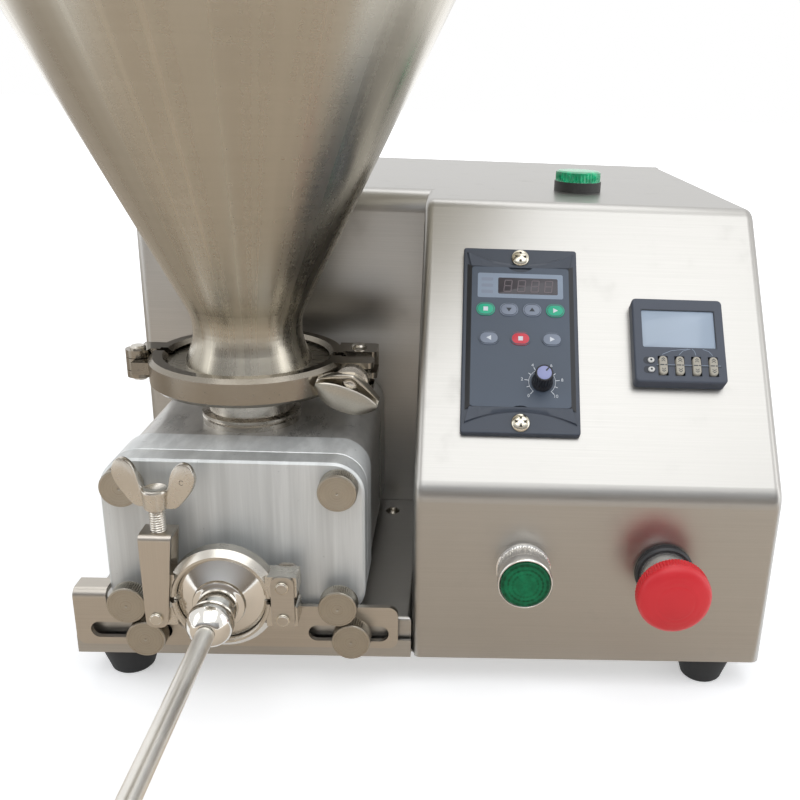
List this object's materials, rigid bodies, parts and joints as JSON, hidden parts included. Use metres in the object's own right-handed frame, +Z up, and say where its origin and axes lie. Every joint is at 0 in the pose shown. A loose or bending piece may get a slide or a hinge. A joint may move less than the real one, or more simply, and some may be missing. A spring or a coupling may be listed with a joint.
{
  "type": "cream filling machine",
  "caption": "Tabletop cream filling machine: conical hopper clamped to a gear pump with a thin nozzle, beside a sloped control console.",
  "frame": {"origin": "under the middle of the outline, on the surface the feet stand on", "axes": "+X to the console's side, +Y to the rear, +Z up; the nozzle points to -Y"},
  "size_m": [0.4327, 0.5542, 0.4458],
  "materials": {
    "brushed_stainless": "fine brushed sheet",
    "spun_stainless": "spun and brushed",
    "polished_stainless": "polished",
    "cast_stainless": "bead blasted and tumbled",
    "turned_stainless": "turned, with circular marks on the faces",
    "milled_aluminium": "milled, matt",
    "gear_steel": "ground",
    "black_rubber": "moulded",
    "seal_rubber": "moulded",
    "dark_case": "fine texture",
    "overlay_film": "printed film",
    "grey_knob": "satin",
    "key_plastic": "satin",
    "black_plastic": "satin",
    "chrome_ring": "plated",
    "green_lens": "translucent, ribbed inside",
    "red_plastic": "glossy",
    "motor_paint": "satin"
  },
  "bodies": {
    "machine": {"base_tray": "brushed_stainless", "bay_deck": "brushed_stainless", "housing_shell": "brushed_stainless", "rear_panel": "brushed_stainless", "housing_screws": "turned_stainless", "rubber_feet": "black_rubber", "power_inlet": "black_plastic", "lamp_base": "black_plastic", "lamp_lens": "green_lens", "controller_case": "dark_case", "controller_overlay": "overlay_film", "controller_screws": "turned_stainless", "timer_case": "dark_case", "start_bezel": "chrome_ring", "stop_base": "black_plastic", "stop_collar": "chrome_ring", "pump_cover": "milled_aluminium", "chamber_plate": "milled_aluminium", "pump_body": "milled_aluminium", "gear_motor": "motor_paint", "motor_bracket": "brushed_stainless", "inlet_neck": "polished_stainless", "inlet_gasket": "seal_rubber", "hopper": "spun_stainless", "hopper_clamp_back": "cast_stainless", "hopper_clamp_front": "cast_stainless", "hopper_clamp_hinge_pin": "polished_stainless", "hopper_clamp_bolt_pin": "polished_stainless", "outlet_clamp_upper": "polished_stainless", "outlet_clamp_lower": "polished_stainless", "outlet_clamp_links": "brushed_stainless", "outlet_clamp_yoke_pin": "polished_stainless", "outlet_gasket": "seal_rubber", "outlet_reducer": "polished_stainless", "nozzle_nut": "polished_stainless", "nozzle_tube": "polished_stainless"},
    "drive_train": {"drive_gear": "gear_steel", "shaft_coupling": "gear_steel"},
    "idler": {"idler_gear": "gear_steel"},
    "speed_knob": {"speed_knob": "grey_knob"},
    "start_button": {"start_lens": "green_lens"},
    "stop_button": {"stop_head": "red_plastic"},
    "timer_rocker_1": {"timer_rocker_1": "key_plastic"},
    "timer_rocker_2": {"timer_rocker_2": "key_plastic"},
    "timer_rocker_3": {"timer_rocker_3": "key_plastic"},
    "timer_rocker_4": {"timer_rocker_4": "key_plastic"},
    "timer_button_1": {"timer_button_1": "key_plastic"},
    "timer_button_2": {"timer_button_2": "key_plastic"},
    "cover_screw_1": {"cover_screw_1": "turned_stainless"},
    "cover_screw_2": {"cover_screw_2": "turned_stainless"},
    "cover_screw_3": {"cover_screw_3": "turned_stainless"},
    "cover_screw_4": {"cover_screw_4": "turned_stainless"},
    "bracket_screw_left": {"bracket_screw_left": "turned_stainless"},
    "bracket_screw_right": {"bracket_screw_right": "turned_stainless"},
    "retaining_bracket": {"retaining_bracket": "brushed_stainless"},
    "swing_bolt": {"hopper_clamp_bolt": "polished_stainless"},
    "wing_nut": {"hopper_clamp_nut": "cast_stainless"},
    "outlet_yoke": {"outlet_clamp_yoke": "brushed_stainless"},
    "wing_screw": {"outlet_clamp_wing_screw": "polished_stainless"}
  },
  "joints": [
    {"name": "drive_spin", "type": "hinge", "parent": "machine", "child": "drive_train", "pos_m": [-0.0428, -0.0899, 0.0856], "axis": [0, 1, 0], "continuous": true},
    {"name": "idler_spin", "type": "hinge", "parent": "machine", "child": "idler", "pos_m": [-0.0789, -0.0899, 0.0856], "axis": [0, 1, 0], "continuous": true},
    {"name": "speed_turn", "type": "hinge", "parent": "machine", "child": "speed_knob", "pos_m": [0.09495, -0.07063, 0.15959], "axis": [0, -0.7584, 0.6518], "range_deg": [-150, 150]},
    {"name": "start_press", "type": "slide", "parent": "machine", "child": "start_button", "axis": [0, 1, 0], "range_m": [0, 0.0035], "stiffness_N_per_m": 600, "springref_m": -0.002},
    {"name": "stop_press", "type": "slide", "parent": "machine", "child": "stop_button", "axis": [0, 1, 0], "range_m": [0, 0.005]},
    {"name": "timer_rocker_1_rock", "type": "hinge", "parent": "machine", "child": "timer_rocker_1", "pos_m": [0.15715, -0.06494, 0.16776], "axis": [1, 0, 0], "range_deg": [-4, 4], "stiffness_Nm_per_rad": 0.02},
    {"name": "timer_rocker_2_rock", "type": "hinge", "parent": "machine", "child": "timer_rocker_2", "pos_m": [0.16585, -0.06494, 0.16776], "axis": [1, 0, 0], "range_deg": [-4, 4], "stiffness_Nm_per_rad": 0.02},
    {"name": "timer_rocker_3_rock", "type": "hinge", "parent": "machine", "child": "timer_rocker_3", "pos_m": [0.17455, -0.06494, 0.16776], "axis": [1, 0, 0], "range_deg": [-4, 4], "stiffness_Nm_per_rad": 0.02},
    {"name": "timer_rocker_4_rock", "type": "hinge", "parent": "machine", "child": "timer_rocker_4", "pos_m": [0.18325, -0.06494, 0.16776], "axis": [1, 0, 0], "range_deg": [-4, 4], "stiffness_Nm_per_rad": 0.02},
    {"name": "timer_button_1_press", "type": "slide", "parent": "machine", "child": "timer_button_1", "axis": [0, 0.7584, -0.6518], "range_m": [0, 0.0008], "stiffness_N_per_m": 300, "springref_m": -0.001},
    {"name": "timer_button_2_press", "type": "slide", "parent": "machine", "child": "timer_button_2", "axis": [0, 0.7584, -0.6518], "range_m": [0, 0.0008], "stiffness_N_per_m": 300, "springref_m": -0.001},
    {"name": "cover_screw_1_turn", "type": "hinge", "parent": "machine", "child": "cover_screw_1", "pos_m": [-0.10915, -0.1024, 0.1132], "axis": [0, 1, 0], "continuous": true},
    {"name": "cover_screw_2_turn", "type": "hinge", "parent": "machine", "child": "cover_screw_2", "pos_m": [-0.00515, -0.1024, 0.1132], "axis": [0, 1, 0], "continuous": true},
    {"name": "cover_screw_3_turn", "type": "hinge", "parent": "machine", "child": "cover_screw_3", "pos_m": [-0.10915, -0.1084, 0.0525], "axis": [0, 1, 0], "continuous": true},
    {"name": "cover_screw_4_turn", "type": "hinge", "parent": "machine", "child": "cover_screw_4", "pos_m": [-0.00515, -0.1084, 0.0525], "axis": [0, 1, 0], "continuous": true},
    {"name": "bracket_screw_left_turn", "type": "hinge", "parent": "machine", "child": "bracket_screw_left", "pos_m": [-0.10125, -0.1084, 0.0336], "axis": [0, 1, 0], "continuous": true},
    {"name": "bracket_screw_right_turn", "type": "hinge", "parent": "machine", "child": "bracket_screw_right", "pos_m": [0.00135, -0.1084, 0.0336], "axis": [0, 1, 0], "continuous": true},
    {"name": "bracket_slide", "type": "slide", "parent": "machine", "child": "retaining_bracket", "axis": [-1, 0, 0], "range_m": [0, 0.007]},
    {"name": "swing_bolt_turn", "type": "hinge", "parent": "machine", "child": "swing_bolt", "pos_m": [-0.00335, -0.0199, 0.1538], "axis": [0, 0, 1], "range_deg": [0, 18]},
    {"name": "wing_nut_back_off", "type": "slide", "parent": "swing_bolt", "child": "wing_nut", "axis": [0, -1, 0], "range_m": [0, 0.0032]},
    {"name": "yoke_swing", "type": "hinge", "parent": "machine", "child": "outlet_yoke", "pos_m": [-0.09205, -0.1165, 0.0506], "axis": [0, -1, 0], "range_deg": [0, 5]},
    {"name": "wing_screw_turn", "type": "hinge", "parent": "outlet_yoke", "child": "wing_screw", "pos_m": [-0.08985, -0.1165, 0.0952], "axis": [0, 0, 1], "range_deg": [0, 44]}
  ],
  "couplings": [
    {"joint": "idler_spin", "follows": "drive_spin", "ratio": -1},
    {"joint": "wing_nut_back_off", "follows": "swing_bolt_turn", "m_per_rad": 0.01}
  ]
}
